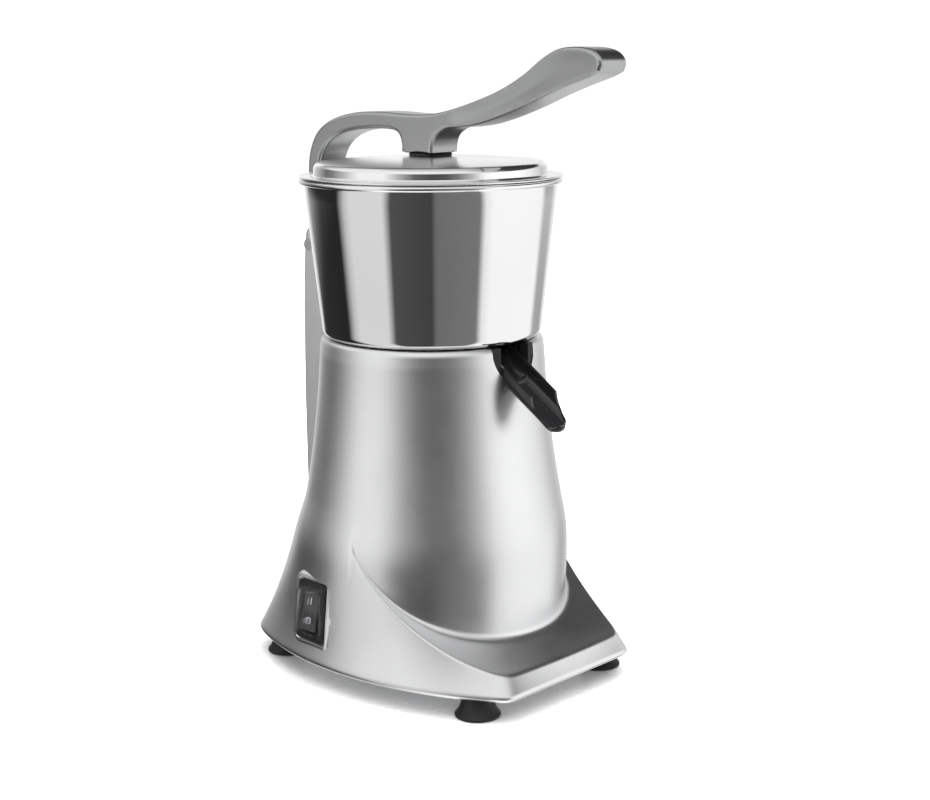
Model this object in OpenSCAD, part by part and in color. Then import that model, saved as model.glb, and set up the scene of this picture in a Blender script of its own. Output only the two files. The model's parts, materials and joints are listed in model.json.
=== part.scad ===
// Lever-operated citrus press juicer for a counter top.
// Units are millimetres, +Z is up, the front with the spout is -Y, the lever column is at +Y.
// The origin is the middle of the whole part's outline, on the surface that it stands on.
// Inside the modules, places are given from the bowl's axis, and on_axis() moves them.

/* [Body] */
// Height of the body's top rim, where the bowl stands
body_top = 208; // [206:1:210]
// Height of the skirt's lower edge above the table
skirt_bottom = 12.5; // [12:0.5:15]
// Half width of the skirt at the table
skirt_half_w = 90.5; // [86:0.5:92]
// Distance from the bowl's axis to the skirt's front edge
skirt_front = 114; // [110:1:116]
// Distance from the bowl's axis to the skirt's rear edge
skirt_rear = 104; // [104:0.5:106]
// Wall thickness of the body casting
body_wall = 4; // [3.5:0.5:4.5]

/* [Bowl and lid] */
// Radius of the bowl's rolled rim and of the lid's flange
rim_r = 80; // [79:0.5:81]
// Height of the bowl's rim
rim_z = 304; // [303:0.5:305]
// Radius of the bowl at its floor
bowl_floor_r = 67.5; // [66:0.5:68]
// Radius of the lid's raised crown
crown_r = 70.7; // [70:0.1:72]

/* [Lever] */
// Width of the lever casting
lever_w = 24; // [22:0.5:24]
// Distance from the bowl's axis to the hinge pin
hinge_y = 91.5; // [91:0.5:92]
// Height of the hinge pin
hinge_z = 258; // [256:1:260]
// Radius of the hinge pin
hinge_pin_r = 4; // [3.5:0.5:4]
// Width of the rear column
column_w = 38; // [38:1:42]

/* [Spout] */
// Width of the spout's trough
spout_w = 24; // [22:1:25]
// Angle of the trough below the horizontal
spout_slope = 34; // [32:1:36]

/* [Drive] */
// Radius of the motor shaft
shaft_r = 5; // [4.5:0.5:5]
// Radius of the reamer's lower edge
reamer_r = 33; // [31:1:34]
// Number of ribs on the reamer
reamer_ribs = 10; // [6:1:12]

/* [Feet and cord inlet] */
// Sideways distance from the middle to a foot
foot_x = 56; // [54:1:58]
// Radius of a foot where it meets the table
foot_r = 13.6; // [12:0.2:14]
// Radius of the hole through the cable gland
gland_bore_r = 4; // [3:0.5:4.5]

/* [Hidden] */

$fn = 96;
eps = 0.01;
// The part's outline runs from the lever's tip to the skirt's rear edge
lever_tip = 139;
axis_y = (lever_tip - skirt_rear) / 2 + 0.38;
// The switch stands proud of one side, so the bowl's axis is a little off the middle
axis_x = 2.17;

// Body: a waisted barrel above, a flared skirt below with a scoop cut for the jug
shoulder_z = 193;
shoulder_r = 69.5;
waist_slope = 0.0625;
waist_curve = 0.000706;
body_rim_r = 66.8;
waist_z = 100;
flare_top = 112;
seam_z = 108;
loft_z = 106.8;
skirt_full_z = skirt_bottom + 2;
skirt_side_r = 205;
skirt_power = 1.5;
scoop_r = 152;
scoop_y = -138.5;
scoop_z = 175;
scoop_back = 79.5;
deck_z = 184;
deck_t = 6;
tray_r = 60;

// Radius of the barrel at height z; below the waist it stops widening and tucks in a little
function barrel_r(z) = let(s = shoulder_z - max(z, waist_z), t = max(waist_z - z, 0))
    shoulder_r + waist_slope * s + waist_curve * s * s + 0.194 * min(t, 23)
    - 0.0042 * pow(min(t, 23), 2) - 0.0012 * pow(max(t - 23, 0), 2);

// Distance from the axis to the skirt's outline at angle a, where 0 is the front
function outline_side(a) = let(c = skirt_side_r - skirt_half_w, s = abs(sin(a)))
    sqrt(c * c * s * s + skirt_side_r * skirt_side_r - c * c) - c * s;
function outline_r(a) = let(
    side = outline_side(a),
    power = cos(a) > 0 ? 48 : 17,
    end = cos(a) > 0 ? cos(a) / skirt_front : -cos(a) / skirt_rear,
    most = max(1 / side, end))
    1 / (most * pow(pow(1 / side / most, power) + pow(end / most, power), 1 / power));

// Distance from the axis to the flared surface at angle a and height z
function flare_share(z) = pow(min(max((flare_top - z) / (flare_top - skirt_full_z), 0), 1), skirt_power);
function edge_round(z) = z >= skirt_full_z + 2 ? 0
    : 3 * pow((skirt_full_z + 2 - z) / (skirt_full_z + 2 - skirt_bottom), 2);
function flare_r(a, z) = barrel_r(z) * (1 - flare_share(z)) + outline_r(a) * flare_share(z)
    - edge_round(z);

// The scoop's y at height z, its height at y, and the height where it meets the barrel or the flare
function scoop_front(z) = scoop_y + sqrt(scoop_r * scoop_r - pow(scoop_z - max(z, scoop_z - scoop_r), 2));
function scoop_height(y) = scoop_z - sqrt(scoop_r * scoop_r - pow(y - scoop_y, 2));
function crossing(a, flared, low, high, count) = let(
    mid = (low + high) / 2,
    r = flared ? flare_r(a, mid) : barrel_r(mid))
    count == 0 ? mid
    : r * cos(a) < -scoop_front(mid) ? crossing(a, flared, mid, high, count - 1)
    : crossing(a, flared, low, mid, count - 1);

function bend(a, b, c, t) = (1 - t) * (1 - t) * a + 2 * t * (1 - t) * b + t * t * c;

// The skirt's side at angle a as [radius, height] points from the top to the lower edge
function scooped_side(a) = let(
    z_in = crossing(a, false, 17, 106.5, 22),
    z_out = crossing(a, true, 17, 106.5, 22),
    r_in = barrel_r(z_in),
    r_out = flare_r(a, z_out),
    f = min(7, 0.35 * (r_out - r_in)),
    g = min(2, 0.2 * (r_out - r_in)),
    start = z_in + f,
    low = z_out - g)
    concat(
        [[barrel_r(flare_top) - 0.5, flare_top]],
        [for (i = [0 : 2]) let(z = loft_z + (start - loft_z) * i / 3) [barrel_r(z), z]],
        [for (i = [0 : 3]) bend([barrel_r(start), start], [r_in, z_in],
            [r_in + f, scoop_height(-(r_in + f) * cos(a))], i / 3)],
        [for (i = [1 : 3]) let(r = r_in + f + (r_out - g - r_in - f) * i / 4)
            [r, scoop_height(-r * cos(a))]],
        [for (i = [0 : 2]) bend([r_out - g, scoop_height(-(r_out - g) * cos(a))], [r_out, z_out],
            [flare_r(a, low), low], i / 2)],
        [for (i = [1 : 6]) let(z = low + (skirt_full_z + 2 - low) * i / 6) [flare_r(a, z), z]],
        [for (z = [skirt_bottom + 1.2, skirt_bottom]) [flare_r(a, z), z]]);
function plain_side(a) = let(low = 62)
    concat(
        [[barrel_r(flare_top) - 0.5, flare_top]],
        [for (i = [0 : 12]) let(z = loft_z + (low - loft_z) * i / 12) [flare_r(a, z), z]],
        [for (i = [1 : 6]) let(z = low + (skirt_full_z + 2 - low) * i / 6) [flare_r(a, z), z]],
        [for (z = [skirt_bottom + 1.2, skirt_bottom]) [flare_r(a, z), z]]);
function skirt_side(a) = min(a, 360 - a) < scoop_back ? scooped_side(a) : plain_side(a);

// Angles round the skirt, closer together at its corners
function span(a0, a1, n) = [for (i = [0 : n - 1]) a0 + (a1 - a0) * i / n];
half_turn = concat(span(0, 21, 4), span(21, 35, 6), span(35, 83, 12), span(83, 132, 10),
    span(132, 156, 8), span(156, 180, 4));
skirt_angles = concat(half_turn, [180],
    [for (i = [len(half_turn) - 1 : -1 : 1]) 360 - half_turn[i]]);
inner_angles = [for (i = [0 : 2 : len(skirt_angles) - 1]) skirt_angles[i]];

// A closed tube of rings, each a list of points of the same length
module loft(rings) {
    n = len(rings[0]);
    m = len(rings);
    points = [for (ring = rings) each ring];
    walls = [for (j = [0 : m - 2], i = [0 : n - 1]) let(k = (i + 1) % n)
        each [[j * n + i, (j + 1) * n + k, j * n + k], [j * n + i, (j + 1) * n + i, (j + 1) * n + k]]];
    polyhedron(points, concat(walls, [[for (i = [0 : n - 1]) i]],
        [[for (i = [n - 1 : -1 : 0]) (m - 1) * n + i]]));
}

function ring_at(z, inset) = [for (a = inner_angles) let(r = flare_r(a, z) - inset)
    [r * sin(a), -r * cos(a), z]];

module on_axis() {
    translate([axis_x, axis_y, 0])
        children();
}

// Turns a side outline of [y, z] points into a plate of width w about the middle plane
module side_plate(points, w) {
    translate([-w / 2, 0, 0])
        rotate([90, 0, 90])
            linear_extrude(w)
                polygon(points);
}

// A rod of radius r along X, centred on the middle plane
module rod_x(r, length) {
    rotate([0, 90, 0])
        cylinder(h = length, r = r, center = true);
}

// A rod of radius r along +Y from the given height
module rod_y(r, length) {
    rotate([-90, 0, 0])
        cylinder(h = length, r = r);
}

// A ring about +Z with a true bore
module tube(r_out, r_in, length) {
    difference() {
        cylinder(h = length, r = r_out);
        translate([0, 0, -1])
            cylinder(h = length + 2, r = r_in);
    }
}

// A rectangle of size w by h with round corners, centred
module round_rect(w, h, r) {
    square([w - 2 * r, h], center = true);
    square([w, h - 2 * r], center = true);
    for (sx = [-1, 1], sy = [-1, 1])
        translate([sx * (w / 2 - r), sy * (h / 2 - r)])
            circle(r);
}

// A smooth curve through the points, with steps pieces between neighbours
function curve_point(p, i, t) = let(
    a = p[max(i - 1, 0)],
    b = p[i],
    c = p[i + 1],
    d = p[min(i + 2, len(p) - 1)])
    0.5 * (2 * b + (c - a) * t + (2 * a - 5 * b + 4 * c - d) * t * t
        + (3 * b - a - 3 * c + d) * t * t * t);
function curve(p, steps) = concat(
    [for (i = [0 : len(p) - 2], k = [0 : steps - 1]) curve_point(p, i, k / steps)],
    [p[len(p) - 1]]);

// Points of an arc in the plane, from angle a0 to a1
function arc(cx, cy, r, a0, a1, steps) = [for (i = [0 : steps])
    let(a = a0 + (a1 - a0) * i / steps) [cx + r * cos(a), cy + r * sin(a)]];

// ---------------------------------------------------------------- body casting

module skirt_solid() {
    sides = [for (a = skirt_angles) skirt_side(a)];
    loft([for (j = [len(sides[0]) - 1 : -1 : 0]) [for (i = [0 : len(sides) - 1])
        [sides[i][j][0] * sin(skirt_angles[i]), -sides[i][j][0] * cos(skirt_angles[i]),
            sides[i][j][1]]]]);
}

barrel_steps = 14;
barrel_side = [for (i = [0 : barrel_steps])
    let(z = seam_z + (shoulder_z + 5 - seam_z) * i / barrel_steps) [barrel_r(z), z]];

module barrel_solid() {
    rotate_extrude()
        polygon(concat([[0, waist_z], [70, waist_z], [barrel_r(seam_z) - 3, seam_z - 4]], barrel_side,
            [[body_rim_r + 1.6, body_top - 4.5], [body_rim_r + 0.6, body_top - 1.2],
            [body_rim_r - 0.6, body_top], [0, body_top]]));
}

module barrel_cavity() {
    rotate_extrude()
        polygon(concat([[0, 84], [70, 84], [barrel_r(94) - body_wall, 94]],
            [for (p = barrel_side) if (p[1] < deck_z - 4) [p[0] - body_wall, p[1]]],
            [[shoulder_r - body_wall, deck_z], [0, deck_z]]));
}

// The room inside the skirt; its roof follows the scoop
module skirt_cavity() {
    difference() {
        loft([for (z = [skirt_bottom - 1, 24, 40, 56, 72, 88, waist_z])
            ring_at(z, z < waist_z ? body_wall : body_wall + 2.5)]);
        difference() {
            intersection() {
                translate([0, scoop_y, scoop_z])
                    rod_x(scoop_r + body_wall, 300);
                translate([-150, -180, -20])
                    cube([300, 180, 150]);
            }
            translate([0, 0, -30])
                cylinder(h = 200, r = 77);
        }
    }
}

// Places of the screws that hold the base plate to the body
plate_screws = [[-74, -38], [74, -38], [-71, 50], [71, 50]];
mount_screw_r = 46;
switch_at = [-86, 21, 46];
switch_tilt = 6;
switch_turn = -5;
gland_x = 45;
gland_z = 33.3;
gland_seat = 96;
spout_start = [0, -60, 202];

module on_switch() {
    translate(switch_at)
        rotate([0, 0, switch_turn])
            rotate([0, switch_tilt - 90, 0])
                children();
}

module body_shell() {
    color("silver")
        on_axis()
            difference() {
                union() {
                    difference() {
                        union() {
                            barrel_solid();
                            skirt_solid();
                            body_buttress();
                        }
                        barrel_cavity();
                        skirt_cavity();
                    }
                    plate_bosses();
                    on_switch()
                        translate([0, 0, -6])
                            linear_extrude(6)
                                round_rect(42, 32, 5);
                    translate([gland_x, gland_seat - 12, gland_z - 1.5])
                        rod_y(15.5, 12);
                }
                body_cuts();
            }
}

module body_buttress() {
    translate([-column_w / 2, 60, 30])
        cube([column_w, 37.5, column_foot - 30]);
}

module plate_bosses() {
    for (p = plate_screws)
        translate([p[0], p[1], skirt_bottom + plate_t])
            cylinder(h = 16, r = 6);
}

module body_cuts() {
    // Seat of the collector tray, and the deck's hole for the motor
    translate([0, 0, deck_z + deck_t])
        cylinder(h = 40, r = tray_r + 0.5);
    translate([0, 0, deck_z - 1])
        cylinder(h = 20, r = 22);
    // Notch for the spout and its collar
    translate([0, -56, notch_z])
        rotate([90, 0, 0])
            cylinder(h = 30, r = notch_r);
    // Slope that lets the trough out over the edge
    on_spout()
        trough_run(-0.15, 4, 40);
    // Holes of the motor's mounting screws
    for (a = [45 : 90 : 315])
        rotate([0, 0, a])
            translate([mount_screw_r, 0, deck_z - 1])
                cylinder(h = 20, r = 2.3);
    // Pilot holes of the base plate's screws
    for (p = plate_screws)
        translate([p[0], p[1], skirt_bottom])
            cylinder(h = 16, r = 1.7);
    // Recess and cut-out of the switch
    on_switch() {
        translate([0, 0, -1.2])
            linear_extrude(10)
                round_rect(36.6, 26.6, 1.5);
        translate([0, 0, -30])
            linear_extrude(40)
                square([28.4, 22.4], center = true);
    }
    // Flat seat of the cable gland, and its eight-sided hole
    translate([gland_x, gland_seat, gland_z - 1.5])
        rod_y(16.5, 20);
    translate([gland_x, 70, gland_z])
        rotate([-90, 0, 0])
            rotate([0, 0, 22.5])
                cylinder(h = 40, r = 8.1 / cos(22.5), $fn = 8);
    // Holes of the column's screws, from inside the barrel and down into the buttress
    for (z = column_screw_z)
        translate([0, 50, z])
            rod_y(2.6, 50);
}

// ---------------------------------------------------------------- rear column

column_screw_z = [130, 178];
fork_floor = 244;
column_foot = 100;
fork_gap = lever_w + 1;

module rear_column() {
    color("gainsboro")
        on_axis()
            difference() {
                intersection() {
                    side_plate(concat(
                        [[60, column_foot], [97.5, column_foot]],
                        curve([[97.8, 130], [98, 160], [97.4, 200], [95.8, 245], [94.6, 262]], 6),
                        arc(84.6, 262, 10, 0, 80, 8),
                        arc(84.5, 267, 5, 90, 180, 6),
                        [[79.5, 214], [60, 214]]), column_w);
                    translate([0, 79, 0])
                        linear_extrude(300)
                            round_rect(column_w, 39, 6);
                }
                // Clearance round the body's barrel and the bowl
                column_clearance();
                // Fork slot for the lever's leg
                translate([-fork_gap / 2, 60, fork_floor])
                    cube([fork_gap, 60, 60]);
                translate([0, hinge_y, hinge_z])
                    rod_x(hinge_pin_r + 0.02, column_w + 10);
                for (z = column_screw_z)
                    translate([0, 50, z])
                        rod_y(2.1, 42);
                translate([0, hinge_y, hinge_z - 30])
                    translate([15.7, 0, 0])
                        cylinder(h = 30, r = 1.6);
            }
}

module column_clearance() {
    rotate_extrude()
        polygon(concat([[0, column_foot - 1]],
            [for (z = [column_foot - 1, 104, 108]) [flare_r(180, z) + 0.1, z]],
            [for (p = barrel_side) [p[0] + 0.1, p[1]]],
            [[body_rim_r + 1.7, body_top - 4.5], [body_rim_r + 0.7, body_top - 1.2],
            [body_rim_r + 0.7, body_top + 1], [79.2, body_top + 6], [79.2, 300], [0, 300]]));
}

module column_screws() {
    color("dimgray")
        on_axis()
            for (z = column_screw_z)
                translate([0, barrel_r(z) - body_wall - 4.7, z]) {
                    rod_y(4.2, 3);
                    translate([0, 3 - eps, 0])
                        rod_y(2, 20);
                }
}

module hinge_pin() {
    color("lightgray")
        on_axis()
            translate([0, hinge_y, hinge_z])
                rod_x(hinge_pin_r, column_w - 1);
}

module pin_set_screw() {
    color("dimgray")
        on_axis()
            translate([15.7, hinge_y, hinge_z - 30])
                cylinder(h = 30 - hinge_pin_r - 0.1, r = 1.5);
}

// ---------------------------------------------------------------- base plate and feet

foot_ys = [-88, 77];
plate_t = 2.5;

module base_plate() {
    color("dimgray")
        on_axis()
            difference() {
                translate([0, 0, skirt_bottom])
                    linear_extrude(plate_t)
                        polygon([for (a = inner_angles) let(r = outline_r(a) - body_wall - 6.2)
                            [r * sin(a), -r * cos(a)]]);
                for (p = plate_screws)
                    translate([p[0], p[1], skirt_bottom - 1])
                        cylinder(h = 10, r = 2.2);
                for (x = [-foot_x, foot_x], y = foot_ys)
                    translate([x, y, skirt_bottom - 1])
                        cylinder(h = 10, r = 2.2);
                // Cooling slots under the fan
                for (a = [0 : 30 : 330])
                    rotate([0, 0, a])
                        translate([17, -1.5, skirt_bottom - 1])
                            cube([16, 3, 10]);
            }
}

module base_plate_screws() {
    color("silver")
        on_axis()
            for (p = plate_screws)
                translate([p[0], p[1], skirt_bottom - 2.2]) {
                    cylinder(h = 2.2, r = 3.8);
                    cylinder(h = 14, r = 1.6);
                }
}

foot_side = concat(
    [[4.2, 0]],
    [[foot_r - 1, 0]],
    arc(foot_r - 1, 1, 1, -90, 30, 5),
    curve([[11.6, 4], [10.2, 8], [9.4, skirt_bottom]], 4),
    [[2.6, skirt_bottom], [2.6, 5], [4.2, 5]]);

module feet() {
    color("black")
        on_axis()
            for (x = [-foot_x, foot_x], y = foot_ys)
                translate([x, y, 0])
                    rotate_extrude()
                        polygon(foot_side);
}

module foot_screws() {
    color("silver")
        on_axis()
            for (x = [-foot_x, foot_x], y = foot_ys)
                translate([x, y, 0]) {
                    translate([0, 0, 2.6])
                        cylinder(h = 2.4, r = 3.8);
                    translate([0, 0, 4])
                        cylinder(h = 18, r = 2);
                    translate([0, 0, skirt_bottom + plate_t])
                        cylinder(h = 3.2, r = 4, $fn = 6);
                }
}

// ---------------------------------------------------------------- switch

rocker_pivot = -1.4;
rocker_rest = 7;

module switch_bezel() {
    color("black")
        on_axis()
            on_switch()
                difference() {
                    translate([0, 0, -1.2])
                        linear_extrude(2)
                            round_rect(36, 26, 1.2);
                    translate([0, 0, -5])
                        linear_extrude(10)
                            square([26, 16.4], center = true);
                }
}

module switch_housing() {
    color("black")
        on_axis()
            on_switch()
                difference() {
                    translate([0, 0, -22])
                        linear_extrude(22 - 1.2)
                            square([28, 22], center = true);
                    translate([0, 0, -9])
                        linear_extrude(10)
                            square([26, 16.4], center = true);
                }
}

module switch_terminals() {
    color("goldenrod")
        on_axis()
            on_switch()
                for (x = [-8, 8], y = [-6, 6])
                    translate([x, y, -27])
                        cube([0.8, 6.3, 10], center = true);
}

module switch_boot() {
    color([0.75, 0.78, 0.8, 0.45])
        on_axis()
            on_switch()
                difference() {
                    union() {
                        translate([0, 0, 0.8])
                            linear_extrude(0.8)
                                round_rect(31, 21, 2);
                        translate([0, 0, 0.8])
                            linear_extrude(5.6)
                                round_rect(28.4, 17.6, 2);
                    }
                    linear_extrude(5.5)
                        round_rect(26.6, 15.8, 1.2);
                }
}

module switch_rocker() {
    color([0.08, 0.08, 0.09])
        on_axis()
            on_switch()
                translate([0, 0, rocker_pivot])
                    rotate([0, rocker_rest, 0])
                        rotate([90, 0, 0])
                            translate([0, 0, -7.3])
                                linear_extrude(14.6)
                                    polygon(concat(
                                        [[-11.8, -2], [0, -4.5], [11.8, -2]],
                                        curve([[11.8, 2.9], [6, 2.9], [0, 2.4], [-6, 2.9],
                                            [-11.8, 2.9]], 5)));
}

// ---------------------------------------------------------------- motor

stator_z0 = 104;
stator_z1 = 156;
stator_r = 44;
rotor_r = 23.5;
bell_r = 47;

module stator_core() {
    color("slategray")
        on_axis()
            translate([0, 0, stator_z0])
                difference() {
                    cylinder(h = stator_z1 - stator_z0, r = stator_r);
                    translate([0, 0, -1])
                        cylinder(h = 60, r = rotor_r + 0.5);
                    for (a = [0 : 15 : 345])
                        rotate([0, 0, a])
                            translate([27, -1.8, -1])
                                cube([9, 3.6, 60]);
                    for (a = [0 : 90 : 270])
                        rotate([0, 0, a])
                            translate([41, 0, -1])
                                cylinder(h = 60, r = 2.3);
                }
}

module stator_windings() {
    color("peru")
        on_axis() {
            for (z = [stator_z0 - 9, stator_z1])
                translate([0, 0, z])
                    rotate_extrude()
                        translate([31.5, 4.5])
                            intersection() {
                                circle(5.5);
                                square([11, 9], center = true);
                            }
            for (a = [0 : 15 : 345])
                rotate([0, 0, a])
                    translate([27.4, -1.5, stator_z0 - eps])
                        cube([8.2, 3, stator_z1 - stator_z0 + 2 * eps]);
        }
}

module bell(height, flange_r, flange_t) {
    difference() {
        union() {
            cylinder(h = height, r = bell_r);
            translate([0, 0, height - flange_t])
                cylinder(h = flange_t, r = flange_r);
        }
        translate([0, 0, -1])
            cylinder(h = height - 5 + 1, r = bell_r - 3.5);
        translate([0, 0, height - 6])
            cylinder(h = 10, r = 6);
    }
}

module bolt_holes(height) {
    for (a = [0 : 90 : 270])
        rotate([0, 0, a])
            translate([41, 0, -5])
                cylinder(h = height + 10, r = 2.2);
}

module motor_top_bell() {
    color("darkgray")
        on_axis()
            difference() {
                union() {
                    translate([0, 0, stator_z1])
                        bell(deck_z - stator_z1, 52, 6);
                    translate([0, 0, 170])
                        tube(17, 13.02, 9);
                    for (a = [0 : 90 : 270])
                        rotate([0, 0, a])
                            translate([41, 0, stator_z1])
                                cylinder(h = 23, r = 4.4);
                }
                translate([0, 0, stator_z1])
                    bolt_holes(30);
                for (a = [45 : 90 : 315])
                    rotate([0, 0, a])
                        translate([mount_screw_r, 0, 170])
                            cylinder(h = 20, r = 1.9);
            }
}

module motor_bottom_bell() {
    color("darkgray")
        on_axis()
            difference() {
                union() {
                    translate([0, 0, stator_z0])
                        mirror([0, 0, 1])
                            bell(20, bell_r, 5);
                    translate([0, 0, 89])
                        tube(17, 13.02, 8);
                    for (a = [0 : 90 : 270])
                        rotate([0, 0, a])
                            translate([41, 0, 88])
                                cylinder(h = 16, r = 4.4);
                }
                translate([0, 0, 80])
                    bolt_holes(30);
                for (a = [22.5 : 45 : 337.5])
                    rotate([0, 0, a])
                        translate([25, -2, 80])
                            cube([10, 4, 12]);
            }
}

module motor_bolts() {
    color("dimgray")
        on_axis()
            for (a = [0 : 90 : 270])
                rotate([0, 0, a])
                    translate([41, 0, 0]) {
                        translate([0, 0, 80.5])
                            cylinder(h = 3.5, r = 3.6, $fn = 6);
                        translate([0, 0, 82])
                            cylinder(h = 94, r = 2);
                    }
}

module motor_mount_screws() {
    color("silver")
        on_axis()
            for (a = [45 : 90 : 315])
                rotate([0, 0, a])
                    translate([mount_screw_r, 0, 0]) {
                        translate([0, 0, 176])
                            cylinder(h = 15, r = 1.8);
                        translate([0, 0, deck_z + deck_t])
                            cylinder(h = 1.8, r = 3.6);
                    }
}

module bearing(z) {
    color("lightsteelblue")
        on_axis()
            translate([0, 0, z])
                difference() {
                    cylinder(h = 8, r = 13);
                    translate([0, 0, -1])
                        cylinder(h = 10, r = shaft_r + 0.03);
                    for (z = [-0.01, 7.41])
                        translate([0, 0, z])
                            tube(10.6, 7.4, 0.6);
                }
}

module upper_bearing() {
    bearing(171);
}

module lower_bearing() {
    bearing(89);
}

// ---------------------------------------------------------------- rotating parts

shaft_top = 268;
seat_z = 236;

module drive_shaft() {
    color("lightgray")
        on_axis()
            difference() {
                union() {
                    translate([0, 0, 70])
                        cylinder(h = shaft_top - 70, r = shaft_r);
                    translate([0, 0, shaft_top - eps])
                        cylinder(h = 3, r1 = shaft_r, r2 = 2.5);
                    translate([0, 0, 97.3])
                        cylinder(h = 4, r = 7);
                    translate([0, 0, 163])
                        cylinder(h = 7.7, r = 7);
                }
                translate([0, 0, seat_z + 6])
                    rod_x(1.5, 40);
            }
}

module rotor_core() {
    color("silver")
        on_axis()
            translate([0, 0, stator_z0])
                difference() {
                    union() {
                        cylinder(h = stator_z1 - stator_z0, r = rotor_r);
                        translate([0, 0, -2.5])
                            tube(rotor_r - 1, 14, 2.5 + eps);
                        translate([0, 0, stator_z1 - stator_z0 - eps])
                            tube(rotor_r - 1, 14, 4);
                    }
                    translate([0, 0, -5])
                        cylinder(h = 80, r = shaft_r);
                }
}

module cooling_fan() {
    color([0.15, 0.15, 0.16])
        on_axis()
            translate([0, 0, 71]) {
                tube(9, shaft_r, 8);
                difference() {
                    cylinder(h = 1.6, r = 34);
                    translate([0, 0, -1])
                        cylinder(h = 5, r = 8.9);
                }
                for (a = [0 : 40 : 320])
                    rotate([0, 0, a])
                        translate([12, -0.8, 1.5])
                            rotate([0, 0, 18])
                                cube([20, 1.6, 6.5]);
            }
}

module slinger() {
    color([0.15, 0.15, 0.16])
        on_axis()
            rotate_extrude()
                polygon([[shaft_r, 222], [8, 222], [8, 226], [16.5, 222.5], [17.5, 224], [8.5, 229],
                    [shaft_r, 229]]);
}

module drive_pin() {
    color("silver")
        on_axis()
            translate([0, 0, seat_z + 6])
                rod_x(1.5, 22);
}

reamer_h = 54;

// Radius of the reamer's cone at height h above its lower edge
function reamer_at(h) = reamer_r * sqrt(max(1 - pow(h / reamer_h, 1.7), 0)) * 0.94;
reamer_steps = 16;
reamer_side = [for (i = [0 : reamer_steps]) let(h = reamer_h * i / reamer_steps)
    [max(reamer_at(h), 1.2), h]];

module reamer() {
    color("whitesmoke")
        on_axis()
            translate([0, 0, seat_z])
                difference() {
                    union() {
                        rotate_extrude()
                            polygon(concat([[0, 0]], [for (p = reamer_side) [p[0] - 2.4 * p[0] / reamer_r,
                                p[1]]], [[0, reamer_h]]));
                        intersection() {
                            rotate_extrude()
                                polygon(concat([[0, 0]], reamer_side, [[0, reamer_h + 1.5]]));
                            for (i = [0 : reamer_ribs - 1])
                                rotate([0, 0, 360 * i / reamer_ribs])
                                    translate([2, -1.4, 0])
                                        cube([reamer_r + 5, 2.8, reamer_h + 5]);
                        }
                        cylinder(h = 2.5, r = reamer_r + 1.5);
                    }
                    // Hollow underside round the hub
                    difference() {
                        translate([0, 0, -1])
                            cylinder(h = 19, r1 = reamer_r - 5, r2 = 14);
                        cylinder(h = 40, r = 11.5);
                    }
                    translate([0, 0, -1])
                        cylinder(h = shaft_top - seat_z + 5, r = shaft_r + 0.05);
                    // Cross slot that drops over the drive pin
                    translate([-12, -1.6, -1])
                        cube([24, 3.2, 8.6]);
                }
}

// ---------------------------------------------------------------- electrics

module run_capacitor() {
    color("whitesmoke")
        on_axis()
            translate([0, 62, 34]) {
                rod_x(14, 54);
                translate([30, 0, 0])
                    rod_x(8, 6);
            }
}

module capacitor_clip() {
    color("silver")
        on_axis()
            difference() {
                union() {
                    translate([-6, 62, 34])
                        rotate([0, 90, 0])
                            cylinder(h = 12, r = 15.6);
                    translate([-6, 42, skirt_bottom + plate_t])
                        cube([12, 40, 2]);
                    translate([-6, 54, skirt_bottom + plate_t])
                        cube([12, 16, 34 - 14.8 - skirt_bottom - plate_t]);
                }
                translate([0, 62, 34])
                    rod_x(14.05, 40);
            }
}

module terminal_block() {
    color("ivory")
        on_axis()
            translate([30, 10, skirt_bottom + plate_t])
                difference() {
                    cube([22, 34, 15]);
                    for (i = [0 : 2])
                        translate([-1, 6 + 11 * i, 7])
                            rotate([0, 90, 0])
                                cylinder(h = 30, r = 2.4);
                    for (i = [0 : 2], x = [6, 16])
                        translate([x, 6 + 11 * i, 9])
                            cylinder(h = 10, r = 2.2);
                }
}

module earth_stud() {
    color("goldenrod")
        on_axis()
            translate([-36, 30, skirt_bottom + plate_t]) {
                cylinder(h = 14, r = 2.4);
                cylinder(h = 3, r = 4.6, $fn = 6);
                translate([0, 0, 6])
                    cylinder(h = 3, r = 4.6, $fn = 6);
            }
}

module cable_gland() {
    color([0.12, 0.12, 0.13])
        on_axis()
            translate([gland_x, gland_seat - 15, gland_z])
                difference() {
                    union() {
                        rod_y(8, 18);
                        translate([0, 15, 0])
                            rod_y(12, 2.5);
                        translate([0, 17, 0])
                            rotate([-90, 0, 0])
                                cylinder(h = 3, r1 = 11, r2 = 8);
                    }
                    translate([0, -1, 0])
                        rod_y(gland_bore_r, 30);
                }
}

module gland_nut() {
    color([0.12, 0.12, 0.13])
        on_axis()
            translate([gland_x, gland_seat - 16.5, gland_z])
                rotate([-90, 0, 0])
                    difference() {
                        cylinder(h = 4.4, r = 11.4, $fn = 6);
                        translate([0, 0, -1])
                            cylinder(h = 10, r = 8.03);
                    }
}

// ---------------------------------------------------------------- juice path

module collector_tray() {
    color([0.1, 0.1, 0.11])
        on_axis()
            difference() {
                rotate_extrude()
                    polygon([[11, 190.2], [12, 190.2], [20, 192.2], [tray_r, 196.2],
                        [tray_r, body_top - 0.4], [tray_r - 2, body_top - 0.4], [tray_r - 2, 198.4],
                        [20, 194.4], [13.2, 194.4], [13.2, 220], [11, 220]]);
                // Mouth that opens into the spout
                translate([0, -40, 207])
                    rotate([90, 0, 0])
                        cylinder(h = 40, r = 9);
                on_spout()
                    trough_run(-0.05, 30, 60);
            }
}

module tray_seal() {
    color([0.2, 0.2, 0.21])
        on_axis()
            translate([0, 0, 214])
                tube(10.95, shaft_r + 0.06, 5);
}

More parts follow.
